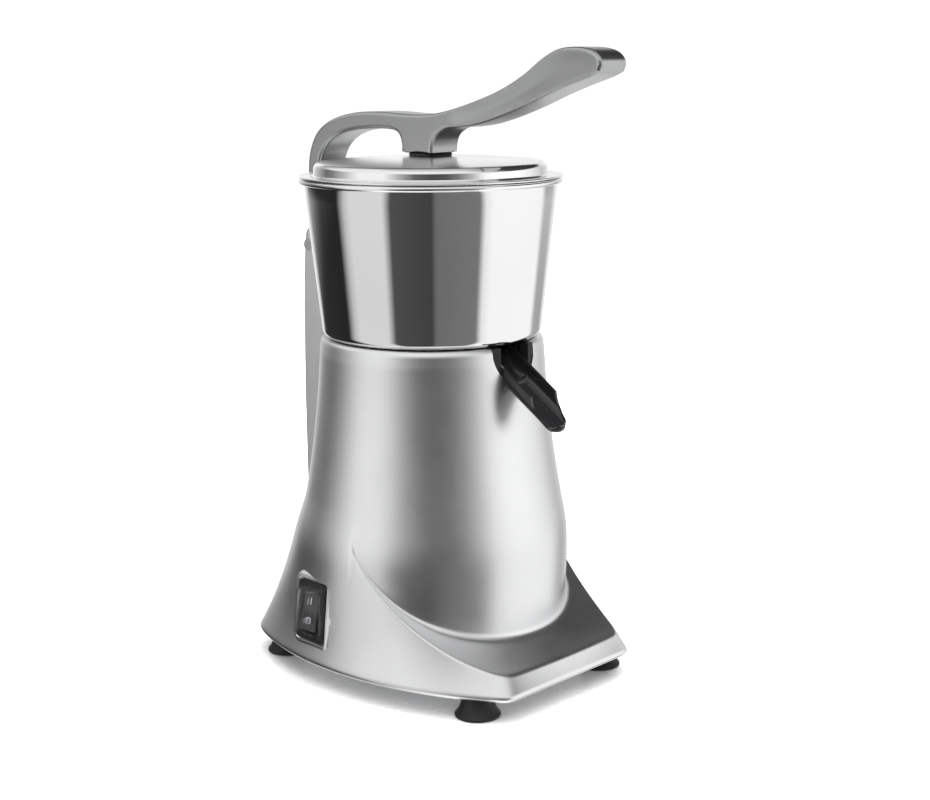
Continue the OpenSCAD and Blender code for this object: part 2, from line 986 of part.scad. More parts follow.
// Moves to the spout's own frame: +X is the object's X, +Y runs down the trough, +Z out of it
module on_spout() {
    translate(spout_start)
        rotate([spout_slope, 0, 0])
            mirror([0, 1, 0])
                children();
}

spout_depth = 10.2;
spout_wall = 1.8;
spout_back = 8;
spout_length = 58;

// Cross-section of the trough, inset by the given amount, open far above
module trough_section(inset) {
    r = 6.5 - inset;
    half = spout_w / 2 - inset;
    translate([-half, inset - spout_depth + r])
        square([2 * half, 30]);
    translate([-half + r, inset - spout_depth])
        square([2 * half - 2 * r, 30]);
    for (s = [-1, 1])
        translate([s * (half - r), inset - spout_depth + r])
            circle(r);
}

// Runs a trough section along the spout from its back end
module trough_run(inset, back, length) {
    translate([0, length, 0])
        rotate([90, 0, 0])
            linear_extrude(length + back)
                trough_section(inset);
}

module spout() {
    color([0.06, 0.06, 0.07])
        on_axis()
            intersection() {
                on_spout()
                    difference() {
                        intersection() {
                            trough_run(0, spout_back, spout_length);
                            translate([-20, -20, -30])
                                cube([40, 100, 30]);
                            // Rounded tongue at the tip
                            translate([0, 0, -30])
                                linear_extrude(60) {
                                    translate([-20, -20])
                                        square([40, spout_length + 11]);
                                    translate([0, spout_length - 12])
                                        circle(12);
                                }
                        }
                        trough_run(spout_wall, spout_back + 1, spout_length + 1);
                        // The side walls are cut back in a sweep towards the tip
                        rotate([90, 0, 90])
                            translate([0, 0, -20])
                                linear_extrude(40)
                                    polygon(concat(
                                        curve([[36, 0.5], [38.6, -2.6], [42.5, -5.2], [48, -7.2],
                                            [58, -9.2], [61, -9.8]], 4), [[61, 5], [36, 5]]));
                    }
                translate([-50, -150, 0])
                    cube([100, 150 - 50, body_top]);
            }
}

notch_r = 18;
notch_z = body_top - 3.5;

module spout_collar() {
    color([0.1, 0.1, 0.11])
        on_axis()
            difference() {
                intersection() {
                    translate([0, -60.8, notch_z])
                        rotate([90, 0, 0])
                            cylinder(h = 8, r = notch_r - 0.1);
                    translate([-30, -80, 180])
                        cube([60, 40, body_top - 180 - 0.2]);
                    cylinder(h = 300, r = 68.4);
                }
                on_spout()
                    trough_run(-0.05, 60, 60);
            }
}

bowl_t = 1.2;
bowl_z = body_top + 0.3;
wall_top_r = 76.6;

module bowl() {
    color("lightgray")
        on_axis()
            difference() {
                rotate_extrude()
                    polygon(concat(
                        [[14.4, bowl_z], [bowl_floor_r - 5, bowl_z]],
                        arc(bowl_floor_r - 5, bowl_z + 5, 5, -90, 0, 8),
                        [[wall_top_r, rim_z - 4]],
                        arc(rim_r - 1.7, rim_z - 1.7, 1.7, 250, 450, 12),
                        [[wall_top_r - 0.4, rim_z]],
                        [[wall_top_r - bowl_t, rim_z - 1.4]],
                        arc(bowl_floor_r - 5, bowl_z + 5, 5 - bowl_t, 0, -90, 8),
                        [[15.6, bowl_z + bowl_t], [15.6, 219], [14.4, 219]]));
                // Drain slots in the floor
                for (a = [-60 : 40 : 60])
                    rotate([0, 0, a - 90])
                        translate([36, -3, body_top - 5]) {
                            cube([16, 6, 20]);
                            translate([0, 3, 0])
                                cylinder(h = 20, r = 3);
                            translate([16, 3, 0])
                                cylinder(h = 20, r = 3);
                        }
            }
}

module strainer() {
    color("gray")
        on_axis()
            difference() {
                rotate_extrude()
                    polygon([[19, 230], [19, 233], [64, 233], [67.8, 238], [68.8, 238], [68.72, 237.4],
                        [64.6, 231.6], [20.4, 231.6], [20.4, 230]]);
                for (ring = [[26, 12], [35, 18], [44, 24], [53, 30]], i = [0 : ring[1] - 1])
                    rotate([0, 0, 360 * i / ring[1]])
                        translate([ring[0], -1, 225])
                            cube([6, 2, 20]);
            }
}

// ---------------------------------------------------------------- lid and press cup

lid_z = rim_z + 0.4;
lid_t = 1.2;
crown_top = rim_z + 12.9;
shoulder_drop = 3.5;

function dome(r_end, z_top, drop, steps) = [for (i = [0 : steps])
    let(r = r_end * (1 - i / steps)) [r, z_top - drop * pow(r / r_end, 2)]];

module lid() {
    color("lightgray")
        on_axis()
            difference() {
                rotate_extrude()
                    polygon(concat(
                        [[crown_r - lid_t, lid_z]],
                        [[rim_r - 0.6, lid_z], [rim_r, lid_z + 0.6], [rim_r - 0.6, lid_z + 1.2]],
                        [[crown_r + 0.6, lid_z + 1.5], [crown_r, lid_z + 2.4]],
                        arc(crown_r - 4, crown_top - shoulder_drop - 4, 4, 0, 82, 6),
                        dome(crown_r - 4, crown_top, shoulder_drop, 6),
                        [[0, crown_top - lid_t]],
                        arc(crown_r - 4, crown_top - shoulder_drop - 4, 4 - lid_t, 82, 0, 6)));
                translate([0, 0, 290])
                    cylinder(h = 60, r = 4.1);
            }
}

module lid_washer() {
    color([0.08, 0.08, 0.08])
        on_axis()
            translate([0, 0, crown_top])
                tube(12.5, 4.1, 1.6);
}

cup_r = 42;
cup_bottom = 248;
cup_top = 306;

// Outer radius of the press cup at height h above its lower edge
function cup_at(h, r, height) = r * pow(max(1 - pow(h / height, 2.4), 0), 1 / 2.2);

module press_cup() {
    color("silver")
        on_axis()
            difference() {
                union() {
                    rotate_extrude()
                        polygon(concat([[0, cup_bottom]],
                            [for (i = [0 : 14]) let(h = 54 * i / 15)
                                [max(cup_at(h, cup_r, 54), 11), cup_bottom + h]],
                            [[11, cup_top], [9.5, crown_top - lid_t - 0.6], [0, crown_top - lid_t - 0.6]]));
                    translate([0, 0, cup_bottom])
                        cylinder(h = 3, r = cup_r + 1.5);
                }
                rotate_extrude()
                    polygon(concat([[0, cup_bottom - 1], [cup_r - 3.4, cup_bottom - 1]],
                        [for (i = [0 : 13]) let(h = 49 * i / 14)
                            [cup_at(h, cup_r - 3.4, 49), cup_bottom + h]],
                        [[9, cup_bottom + 47.6], [0, cup_bottom + 47.6]]));
                translate([0, 0, 280])
                    cylinder(h = 60, r = 4.1);
            }
}

module cup_bolt() {
    color("silver")
        on_axis() {
            translate([0, 0, cup_bottom + 44.2])
                cylinder(h = 3.4, r = 6.2);
            translate([0, 0, 295])
                cylinder(h = 35, r = 4);
        }
}

// ---------------------------------------------------------------- lever

boss_bottom = crown_top + 1.7;
lever_top = [[98, 284], [98, 300], [96.2, 316], [89, 329], [76, 337], [56, 341.6], [34, 342.6],
    [10, 341.6], [-8, 341.8], [-24, 344.2], [-44, 349.4], [-64, 356], [-82, 364.6], [-96, 373.6],
    [-107, 378.6], [-118, 380], [-128, 379.2], [-134.6, 377], [-138.2, 373.6], [-lever_tip, 370]];
handle_under = [[-137.4, 366.4], [-131, 363.6], [-116, 359], [-100, 353.6], [-84, 347.5],
    [-66, 341.4], [-48, 336.6], [-34, 334.6], [-23, 333.6], [-15.5, 329.6], [-12.6, 324], [-12, boss_bottom]];
arch_under = [[13.5, boss_bottom], [13.8, 325], [16.8, 330.2], [24, 332.2], [40, 332.2], [56, 330.8],
    [69, 327.6], [79, 321.8], [85, 314], [87, 304], [87, 292], [87, 284]];

module lever_arm() {
    color("darkgray")
        on_axis()
            difference() {
                union() {
                    side_plate(concat(curve(lever_top, 4), curve(handle_under, 4),
                        curve(arch_under, 4)), lever_w);
                    // Leg that runs down into the column's fork
                    side_plate([[98, 284.5], [87, 284.5], [86, 266], [97.6, 266]], lever_w);
                    side_plate(concat([[97.6, 270], [86, 270], [84, 262]],
                        arc(hinge_y, hinge_z, 7.5, 170, 370, 14)), lever_w - 1.6);
                }
                translate([0, hinge_y, hinge_z])
                    rod_x(6, 60);
                translate([0, 0, boss_bottom - 5])
                    cylinder(h = 18, r = 4);
            }
}

module lever_bushes() {
    color("darkgoldenrod")
        on_axis()
            for (s = [-1, 1])
                translate([s * (lever_w / 2 - 0.8), hinge_y, hinge_z])
                    rotate([0, -s * 90, 0])
                        difference() {
                            union() {
                                cylinder(h = 9, r = 6);
                                translate([0, 0, -1])
                                    cylinder(h = 1, r = 7.4);
                            }
                            translate([0, 0, -2])
                                cylinder(h = 20, r = hinge_pin_r + 0.05);
                        }
}

body_shell();
rear_column();
column_screws();
base_plate();
base_plate_screws();
feet();
foot_screws();
switch_bezel();
switch_housing();
switch_terminals();
switch_boot();
switch_rocker();
motor_top_bell();
motor_bottom_bell();
motor_bolts();
motor_mount_screws();
stator_core();
stator_windings();
upper_bearing();
lower_bearing();
run_capacitor();
capacitor_clip();
terminal_block();
earth_stud();
cable_gland();
gland_nut();
collector_tray();
tray_seal();
spout();
spout_collar();
bowl();
strainer();
hinge_pin();
pin_set_screw();
lever_arm();
lever_bushes();
lid();
lid_washer();
press_cup();
cup_bolt();
drive_shaft();
rotor_core();
cooling_fan();
slinger();
drive_pin();
reamer();
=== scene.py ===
import json
import math

import bmesh
import bpy
import numpy as np
from mathutils import Matrix, Vector


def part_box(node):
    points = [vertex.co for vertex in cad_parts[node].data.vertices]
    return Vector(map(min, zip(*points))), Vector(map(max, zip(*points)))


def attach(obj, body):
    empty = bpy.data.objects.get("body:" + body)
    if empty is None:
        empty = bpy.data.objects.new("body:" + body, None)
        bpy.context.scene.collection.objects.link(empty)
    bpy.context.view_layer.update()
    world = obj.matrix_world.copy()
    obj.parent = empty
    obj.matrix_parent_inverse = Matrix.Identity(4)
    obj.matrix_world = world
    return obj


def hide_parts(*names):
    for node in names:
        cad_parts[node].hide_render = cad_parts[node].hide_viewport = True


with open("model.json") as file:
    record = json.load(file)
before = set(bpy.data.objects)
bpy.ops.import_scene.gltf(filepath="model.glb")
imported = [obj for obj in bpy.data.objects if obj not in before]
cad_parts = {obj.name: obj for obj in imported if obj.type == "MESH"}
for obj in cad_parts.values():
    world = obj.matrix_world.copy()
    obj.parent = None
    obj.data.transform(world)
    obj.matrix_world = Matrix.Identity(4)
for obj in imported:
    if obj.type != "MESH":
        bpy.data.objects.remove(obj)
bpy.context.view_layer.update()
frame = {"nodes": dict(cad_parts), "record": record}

MM = 0.001
low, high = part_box("bowl")
AXIS = Vector(((low[0] + high[0]) / 2, (low[1] + high[1]) / 2, 0.0))  # the bowl's axis

# ---------------------------------------------------------------- materials


class Nodes:
    """Small helper for building one material's node tree."""

    def __init__(self, name):
        self.material = bpy.data.materials.new(name)
        self.material.use_nodes = True
        self.tree = self.material.node_tree
        self.shader = self.tree.nodes["Principled BSDF"]
        self.coord = self.tree.nodes.new("ShaderNodeTexCoord")

    def new(self, kind, **inputs):
        node = self.tree.nodes.new(kind)
        for key, value in inputs.items():
            node.inputs[key.replace("_", " ")].default_value = value
        return node

    def link(self, a, b):
        self.tree.links.new(a, b)

    def noise(self, scale, detail=2.0, rough=0.5, stretch=(1, 1, 1)):
        mapping = self.tree.nodes.new("ShaderNodeMapping")
        mapping.inputs["Scale"].default_value = stretch
        self.link(self.coord.outputs["Object"], mapping.inputs["Vector"])
        node = self.new("ShaderNodeTexNoise", Scale=scale, Detail=detail, Roughness=rough)
        self.link(mapping.outputs["Vector"], node.inputs["Vector"])
        return node.outputs["Fac"]

    def span(self, value, low, high, from_low=0.3, from_high=0.7):
        node = self.new("ShaderNodeMapRange")
        node.inputs["From Min"].default_value = from_low
        node.inputs["From Max"].default_value = from_high
        node.inputs["To Min"].default_value = low
        node.inputs["To Max"].default_value = high
        self.link(value, node.inputs["Value"])
        return node.outputs["Result"]

    def mix(self, value, a, b):
        node = self.tree.nodes.new("ShaderNodeMix")
        node.data_type = "RGBA"
        node.inputs["A"].default_value = (*a, 1)
        node.inputs["B"].default_value = (*b, 1)
        self.link(value, node.inputs["Factor"])
        return node.outputs["Result"]

    def bump(self, value, strength, distance, under=None):
        node = self.new("ShaderNodeBump", Strength=strength, Distance=distance)
        self.link(value, node.inputs["Height"])
        if under is not None:
            self.link(under, node.inputs["Normal"])
        return node.outputs["Normal"]


def finish_material(n, base, rough, metallic=0.0, grain=None, wave=None, vary=0.06, **extra):
    """base colour with slow variation, roughness between two values, fine grain and slow waves."""
    drift = n.noise(14.0, 3.0)
    darker = tuple(max(c * (1 - vary), 0) for c in base)
    lighter = tuple(min(c * (1 + vary), 1) for c in base)
    n.link(n.mix(n.span(drift, 0, 1), darker, lighter), n.shader.inputs["Base Color"])
    patches = n.noise(45.0, 4.0, 0.6)
    n.link(n.span(patches, rough[0], rough[1]), n.shader.inputs["Roughness"])
    n.shader.inputs["Metallic"].default_value = metallic
    normal = None
    if wave:
        normal = n.bump(n.noise(wave[0], 2.0), wave[1], wave[2])
    if grain:
        normal = n.bump(n.noise(grain[0], 2.0, 0.6), grain[1], grain[2], normal)
    if normal is not None:
        n.link(normal, n.shader.inputs["Normal"])
    for key, value in extra.items():
        n.shader.inputs[key.replace("_", " ")].default_value = value
    return n.material


def cast_satin(name, base, rough, strength=0.16):
    """Bead-blasted or lacquered die casting: very fine grain on smooth metal."""
    return finish_material(Nodes(name), base, rough, 1.0, grain=(2400.0, strength, 0.0002),
                           wave=(12.0, 0.03, 0.0003), vary=0.025)


def polished(name, base, rough):
    """Polished sheet steel with hairline polishing marks round the axis and faint smudges."""
    n = Nodes(name)
    fine = n.noise(60.0, 3.0, 0.6, (1, 1, 45))
    marks = n.bump(fine, 0.015, 0.0002)
    n.link(n.bump(n.noise(22.0, 2.0), 0.04, 0.0008, marks), n.shader.inputs["Normal"])
    smudge = n.noise(28.0, 5.0, 0.65)
    facing = n.tree.nodes.new("ShaderNodeSeparateXYZ")
    n.link(n.coord.outputs["Normal"], facing.inputs[0])
    brushed = n.new("ShaderNodeMath")
    brushed.operation = "ADD"
    n.link(n.span(smudge, rough[0], rough[1], 0.35, 0.75), brushed.inputs[0])
    n.link(n.span(facing.outputs["Z"], 0, 0.2, 0.75, 0.97), brushed.inputs[1])
    n.link(brushed.outputs[0], n.shader.inputs["Roughness"])
    n.link(n.mix(n.span(n.noise(9.0), 0, 1), base, tuple(c * 0.95 for c in base)),
           n.shader.inputs["Base Color"])
    n.shader.inputs["Metallic"].default_value = 1.0
    return n.material


def turned(name, base, rough):
    """Turned or rolled steel with fine tool marks."""
    n = Nodes(name)
    n.link(n.bump(n.noise(90.0, 3.0, 0.6, (1, 1, 12)), 0.12, 0.0002), n.shader.inputs["Normal"])
    n.link(n.span(n.noise(60.0, 4.0), rough[0], rough[1]), n.shader.inputs["Roughness"])
    n.link(n.mix(n.span(n.noise(20.0), 0, 1), base, tuple(c * 0.9 for c in base)),
           n.shader.inputs["Base Color"])
    n.shader.inputs["Metallic"].default_value = 1.0
    return n.material


MATERIALS = {
    "cast_satin": cast_satin("cast_satin", (0.86, 0.865, 0.87), (0.29, 0.34), 0.05),
    "lever_satin": cast_satin("lever_satin", (0.49, 0.495, 0.50), (0.29, 0.35), 0.07),
    "polished_steel": polished("polished_steel", (0.93, 0.93, 0.93), (0.03, 0.085)),
    "plain_steel": turned("plain_steel", (0.66, 0.66, 0.67), (0.22, 0.38)),
    "sheet_steel": turned("sheet_steel", (0.55, 0.56, 0.57), (0.3, 0.48)),
    "bronze": turned("bronze", (0.52, 0.33, 0.14), (0.32, 0.45)),
    "brass_part": turned("brass_part", (0.72, 0.53, 0.22), (0.25, 0.4)),
    "laminations": turned("laminations", (0.3, 0.31, 0.33), (0.4, 0.55)),
    "copper_wire": turned("copper_wire", (0.62, 0.25, 0.1), (0.25, 0.4)),
    "motor_cast": cast_satin("motor_cast", (0.66, 0.67, 0.68), (0.34, 0.46), 0.3),
    "black_gloss": finish_material(
        Nodes("black_gloss"), (0.012, 0.012, 0.013), (0.1, 0.2), grain=(900.0, 0.05, 0.0002),
        wave=(40.0, 0.08, 0.0006), Coat_Weight=0.3, Coat_Roughness=0.06),
    "black_matt": finish_material(
        Nodes("black_matt"), (0.010, 0.010, 0.011), (0.4, 0.52), grain=(1500.0, 0.2, 0.0002),
        Specular_IOR_Level=0.25),
    "rubber_black": finish_material(
        Nodes("rubber_black"), (0.011, 0.011, 0.011), (0.42, 0.6), grain=(1100.0, 0.2, 0.0002),
        Specular_IOR_Level=0.35),
    "white_plastic": finish_material(
        Nodes("white_plastic"), (0.78, 0.78, 0.75), (0.3, 0.42), grain=(1200.0, 0.1, 0.0002)),
    "reamer_plastic": finish_material(
        Nodes("reamer_plastic"), (0.8, 0.8, 0.77), (0.2, 0.3), grain=(900.0, 0.06, 0.0002),
        Coat_Weight=0.2),
}
boot = Nodes("clear_boot")
MATERIALS["clear_boot"] = finish_material(
    boot, (0.93, 0.94, 0.95), (0.05, 0.1), wave=(120.0, 0.12, 0.0004), IOR=1.3)
boot.shader.inputs["Transmission Weight"].default_value = 1.0
boot.shader.inputs["Alpha"].default_value = 0.25
mark = Nodes("mark_white")
MARK = finish_material(mark, (0.75, 0.76, 0.78), (0.35, 0.45), grain=(1500.0, 0.1, 0.0002))

SLOT_OF = {row["node"]: row["material_slot"] for row in frame["record"]["subparts"]}
for node_name, node_object in frame["nodes"].items():
    for material_slot in node_object.material_slots:
        material_slot.material = MATERIALS[SLOT_OF[node_name]]

# ---------------------------------------------------------------- mesh helpers


def piece(name, points, faces, body, slot, replaces=(), sharp=34.0, material=None):
    """A mesh from points in mm about the bowl's axis, riding on a CAD body."""
    mesh = bpy.data.meshes.new(name)
    mesh.from_pydata([(Vector(p) * MM + AXIS)[:] for p in points], [], faces)
    obj = bpy.data.objects.new(name, mesh)
    bpy.context.scene.collection.objects.link(obj)
    clean(obj)
    mesh.materials.append(material or MATERIALS[slot])
    smooth(obj, sharp)
    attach(obj, body)
    if replaces:
        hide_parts(*replaces)
    return obj


def clean(obj, distance=0.00001):
    """Joins doubled points and turns all the faces outward."""
    bm = bmesh.new()
    bm.from_mesh(obj.data)
    bmesh.ops.remove_doubles(bm, verts=bm.verts, dist=distance)
    bmesh.ops.dissolve_degenerate(bm, edges=bm.edges, dist=distance / 2)
    bmesh.ops.recalc_face_normals(bm, faces=bm.faces)
    bm.to_mesh(obj.data)
    bm.free()


def smooth(obj, sharp):
    obj.data.polygons.foreach_set("use_smooth", [True] * len(obj.data.polygons))
    obj.data.set_sharp_from_angle(angle=math.radians(sharp))


def even_shading(obj, sharp):
    """Keeps large flat faces flat where they meet small curved ones."""
    smooth(obj, sharp)
    modifier = obj.modifiers.new("shading", "WEIGHTED_NORMAL")
    modifier.keep_sharp = True
    modifier.weight = 80


def apply_modifiers(obj):
    """Makes the object's modifiers permanent."""
    depsgraph = bpy.context.evaluated_depsgraph_get()
    mesh = bpy.data.meshes.new_from_object(obj.evaluated_get(depsgraph))
    obj.modifiers.clear()
    obj.data = mesh


def cut(obj, tools, operation="DIFFERENCE"):
    """Boolean with each tool object, which is then deleted."""
    for tool in tools:
        modifier = obj.modifiers.new("cut", "BOOLEAN")
        modifier.operation = operation
        modifier.object = tool
        modifier.solver = "EXACT"
    bpy.context.view_layer.update()
    apply_modifiers(obj)
    for tool in tools:
        bpy.data.objects.remove(tool)


def tool_object(points, faces):
    mesh = bpy.data.meshes.new("tool")
    mesh.from_pydata([(Vector(p) * MM + AXIS)[:] for p in points], [], faces)
    obj = bpy.data.objects.new("tool", mesh)
    bpy.context.scene.collection.objects.link(obj)
    clean(obj)
    return obj


def grid_faces(rows, cols, wrap_rows=False):
    """Quads of a grid that closes round its columns."""
    faces = []
    for j in range(rows if wrap_rows else rows - 1):
        for i in range(cols):
            k, m = (i + 1) % cols, (j + 1) % rows
            faces.append((j * cols + i, j * cols + k, m * cols + k, m * cols + i))
    return faces


def lathe_data(profile, steps=160, centre=(0, 0, 0)):
    """Turns an outline of (radius, height) points; the outline closes on itself."""
    points, faces = [], []
    for r, z in profile:
        r = max(r, 0.0)
        for i in range(steps):
            a = 2 * math.pi * i / steps
            points.append((centre[0] + r * math.cos(a), centre[1] + r * math.sin(a), centre[2] + z))
    return points, grid_faces(len(profile), steps, True)


def arc(cx, cy, r, a0, a1, steps):
    return [(cx + r * math.cos(math.radians(a0 + (a1 - a0) * i / steps)),
             cy + r * math.sin(math.radians(a0 + (a1 - a0) * i / steps))) for i in range(steps + 1)]


def curve(points, steps):
    """Catmull-Rom curve through the points."""
    out = []
    p = [Vector((*q, 0)) for q in points]
    for i in range(len(p) - 1):
        a, b, c, d = p[max(i - 1, 0)], p[i], p[i + 1], p[min(i + 2, len(p) - 1)]
        for k in range(steps):
            t = k / steps
            v = 0.5 * (2 * b + (c - a) * t + (2 * a - 5 * b + 4 * c - d) * t * t
                       + (3 * b - a - 3 * c + d) * t ** 3)
            out.append((v.x, v.y))
    out.append(tuple(points[-1]))
    return out


def plate_data(outline, half_width):
    """A side outline of (y, z) points extruded along X."""
    count = len(outline)
    points = [(-half_width, y, z) for y, z in outline] + [(half_width, y, z) for y, z in outline]
    faces = [tuple(range(count)), tuple(range(2 * count - 1, count - 1, -1))]
    for i in range(count):
        k = (i + 1) % count
        faces.append((i, k, count + k, count + i))
    return points, faces


def round_rect(w, h, r, steps=6):
    """Outline of a rectangle with round corners."""
    out = []
    for cx, cy, a in ((w / 2 - r, h / 2 - r, 0), (-w / 2 + r, h / 2 - r, 90),
                      (-w / 2 + r, -h / 2 + r, 180), (w / 2 - r, -h / 2 + r, 270)):
        out += arc(cx, cy, r, a, a + 90, steps)
    return out


def stack(rings):
    """A closed solid through rings of points of equal length, with flat ends."""
    count = len(rings[0])
    points = [p for ring in rings for p in ring]
    faces = grid_faces(len(rings), count)
    faces.append(tuple(range(count - 1, -1, -1)))
    faces.append(tuple(range((len(rings) - 1) * count, len(rings) * count)))
    return points, faces


def circle(r, steps, start=0.0):
    """Points of a full circle of radius r about the origin."""
    turns = np.linspace(start, start + 2 * math.pi, steps + 1)[:-1]
    return [(r * math.cos(t), r * math.sin(t)) for t in turns]


def rod_x(centre, sections, steps=64):
    """A cutting tool: a round bar along X about centre (y, z), from (x, radius) sections."""
    return tool_object(*stack([[(x, centre[0] + u, centre[1] + v) for u, v in circle(r, steps)]
                               for x, r in sections]))


def rod_y(centre, sections, steps=64, start=0.0):
    """A cutting tool: a round bar along Y about centre (x, z), from (y, radius) sections."""
    return tool_object(*stack([[(centre[0] + u, y, centre[1] + v) for u, v in circle(r, steps, start)]
                               for y, r in sections]))


def rod_z(sections, steps=64):
    """A cutting tool: a round bar on the main axis, from (z, radius) sections."""
    return tool_object(*stack([[(u, v, z) for u, v in circle(r, steps)] for z, r in sections]))


# ---------------------------------------------------------------- body casting

SKIRT_BOTTOM, HALF_W, FRONT, REAR, SIDE_R = 12.5, 90.5, 114.0, 103.9, 205.0
FULL_Z, FLARE_TOP, POWER = 14.5, 112.0, 1.5
SCOOP_R, SCOOP_Y, SCOOP_Z, SCOOP_BACK = 152.0, -138.5, 175.0, 81.0
BODY_TOP, RIM_R = 208.0, 66.8


def barrel_r(z):
    s = 193 - max(z, 100)
    t = max(100 - z, 0)
    return (69.5 + 0.0625 * s + 0.000706 * s * s + 0.194 * min(t, 23) - 0.0042 * min(t, 23) ** 2
            - 0.0012 * max(t - 23, 0) ** 2)


def outline_r(a):
    c, s = SIDE_R - HALF_W, abs(math.sin(a))
    side = math.sqrt(c * c * s * s + SIDE_R ** 2 - c * c) - c * s
    power = 48 if math.cos(a) > 0 else 17
    end = math.cos(a) / FRONT if math.cos(a) > 0 else -math.cos(a) / REAR
    most = max(1 / side, end)
    return 1 / (most * ((1 / side / most) ** power + (end / most) ** power) ** (1 / power))


def flare_r(a, z):
    k = min(max((FLARE_TOP - z) / (FLARE_TOP - FULL_Z), 0), 1) ** POWER
    edge = 0 if z >= FULL_Z + 2.5 else 3 * ((FULL_Z + 2.5 - z) / (FULL_Z + 2.5 - SKIRT_BOTTOM)) ** 2
    return barrel_r(z) * (1 - k) + outline_r(a) * k - edge


def scoop_front(z):
    return SCOOP_Y + math.sqrt(SCOOP_R ** 2 - (SCOOP_Z - max(z, SCOOP_Z - SCOOP_R)) ** 2)


def scoop_height(y):
    return SCOOP_Z - math.sqrt(SCOOP_R ** 2 - (y - SCOOP_Y) ** 2)


def crossing(a, radius):
    lo, hi = 17.0, 110.0
    for _ in range(30):
        mid = (lo + hi) / 2
        if radius(mid) * math.cos(a) < -scoop_front(mid):
            lo = mid
        else:
            hi = mid
    return mid


def bend(a, b, c, steps):
    """Points of a curve from a to c that is pulled towards b."""
    out = []
    for i in range(steps + 1):
        t = i / steps
        out.append(tuple((1 - t) ** 2 * a[k] + 2 * t * (1 - t) * b[k] + t * t * c[k] for k in (0, 1)))
    return out


TOP_Z = np.linspace(200, 112, 30)


def body_side(a):
    """The casting's outside at angle a as (radius, height) points, top to bottom."""
    turn = abs(math.degrees(a))
    z_in = crossing(a, barrel_r) if turn < 89 else 106.0
    z_out = crossing(a, lambda z: flare_r(a, z)) if turn < 89 else 104.0
    if turn < SCOOP_BACK:
        r_in, r_out = barrel_r(z_in), flare_r(a, z_out)
        f = min(5, 0.3 * (r_out - r_in))
        g = min(1.4, 0.15 * (r_out - r_in))
        start, end = z_in + f, z_out - g
        ledge = lambda r: (r, scoop_height(-r * math.cos(a)))
        out = [(barrel_r(z), z) for z in np.linspace(FLARE_TOP, start, 17)[:-1]]
        out += bend((barrel_r(start), start), (r_in, z_in), ledge(r_in + f), 8)
        out += [ledge(r) for r in np.linspace(r_in + f, r_out - g, 14)[1:-1]]
        out += bend(ledge(r_out - g), (r_out, z_out), (flare_r(a, end), end), 5)
    else:
        end = 70.0
        out = [(flare_r(a, z), z) for z in np.linspace(FLARE_TOP, end, 43)]
    out += [(flare_r(a, z), z) for z in np.linspace(end, FULL_Z + 2.5, 21)[1:]]
    out += [(flare_r(a, z), z) for z in np.linspace(FULL_Z + 2.5, SKIRT_BOTTOM, 7)[1:]]
    top = [(RIM_R - 1.2, BODY_TOP), (RIM_R + 0.1, BODY_TOP - 0.25), (RIM_R + 0.9, BODY_TOP - 1.0),
           (RIM_R + 1.5, BODY_TOP - 2.4), (RIM_R + 1.85, BODY_TOP - 4.2),
           (barrel_r(201.5) - 0.25, 201.5)]
    top += [(barrel_r(z), z) for z in TOP_Z[:-1]]
    return top + out


angles = []
for start, stop, step in ((0, 20, 2), (20, 37, 0.7), (37, 128, 1.6), (128, 156, 1.2), (156, 180, 3)):
    angles += list(np.arange(start, stop, step))
angles = [math.radians(v) for v in angles]
angles = angles + [math.pi] + [-v for v in reversed(angles[1:])]
sides = [body_side(a) for a in angles]
INNER = 3.6
body_points, rows = [], len(sides[0])
inner_picks = [0] + list(range(6, 36, 4)) + [36, 44, 52, 60, 66, 72, 78, 84, 90, 96, rows - 1]
inner_picks = [i for i in inner_picks if i < rows]
for j in range(rows):
    for a, side in zip(angles, sides):
        body_points.append((side[j][0] * math.sin(a), -side[j][0] * math.cos(a), side[j][1]))
for j in reversed(inner_picks):
    for a, side in zip(angles, sides):
        before, after = side[max(j - 1, 0)], side[min(j + 1, rows - 1)]
        dr, dz = after[0] - before[0], after[1] - before[1]
        length = math.hypot(dr, dz) or 1.0
        r, z = side[j][0] + dz / length * INNER, side[j][1] - dr / length * INNER
        if j in (0, rows - 1):
            r, z = side[j][0] - INNER, side[j][1]
        body_points.append((r * math.sin(a), -r * math.cos(a), z))
body = piece("casting", body_points, grid_faces(rows + len(inner_picks), len(angles), True),
             "base", "cast_satin", ["body_shell"], 30)

# The switch's own axes: u along its height, v across, w out of the body
SWITCH_AT, SWITCH_TILT, SWITCH_TURN = Vector((-86, 21, 46)), math.radians(6), math.radians(-5)
SWITCH = (Matrix.Rotation(SWITCH_TURN, 3, "Z") @ Matrix.Rotation(SWITCH_TILT - math.pi / 2, 3, "Y"))


def on_switch(p):
    return tuple(SWITCH_AT + SWITCH @ Vector(p))


pad_rings = []
for grow, height in ((3.6, -7), (3.4, -2.6), (3.0, -1.6), (2.2, -0.7), (1.2, -0.15), (0, 0), (-1.4, 0)):
    outline = round_rect(39 + 2 * grow, 29 + 2 * grow, 3 + grow, 8)
    pad_rings.append([on_switch((x, y, height)) for x, y in outline])
pad = tool_object(*stack(pad_rings))
notch = rod_y((0, 204.5), ((-90, 18), (-55, 18)), 96)
recess = tool_object(*stack([[on_switch((x, y, h)) for x, y in round_rect(w, w - 10, 1.6, 6)]
                             for w, h in ((36.6, -1.2), (36.6, -0.7), (38.4, 0.2), (38.4, 6))]))
cut_out = tool_object(*stack([[on_switch((x, y, h)) for x, y in round_rect(28.4, 22.4, 0.6, 3)]
                              for h in (-20, 3)]))
GLAND_X, GLAND_Z, GLAND_BOSS_Z = 45, 33.3, 31.8
gland_face = rod_y((GLAND_X, GLAND_BOSS_Z), ((96, 16.5), (120, 16.5)))
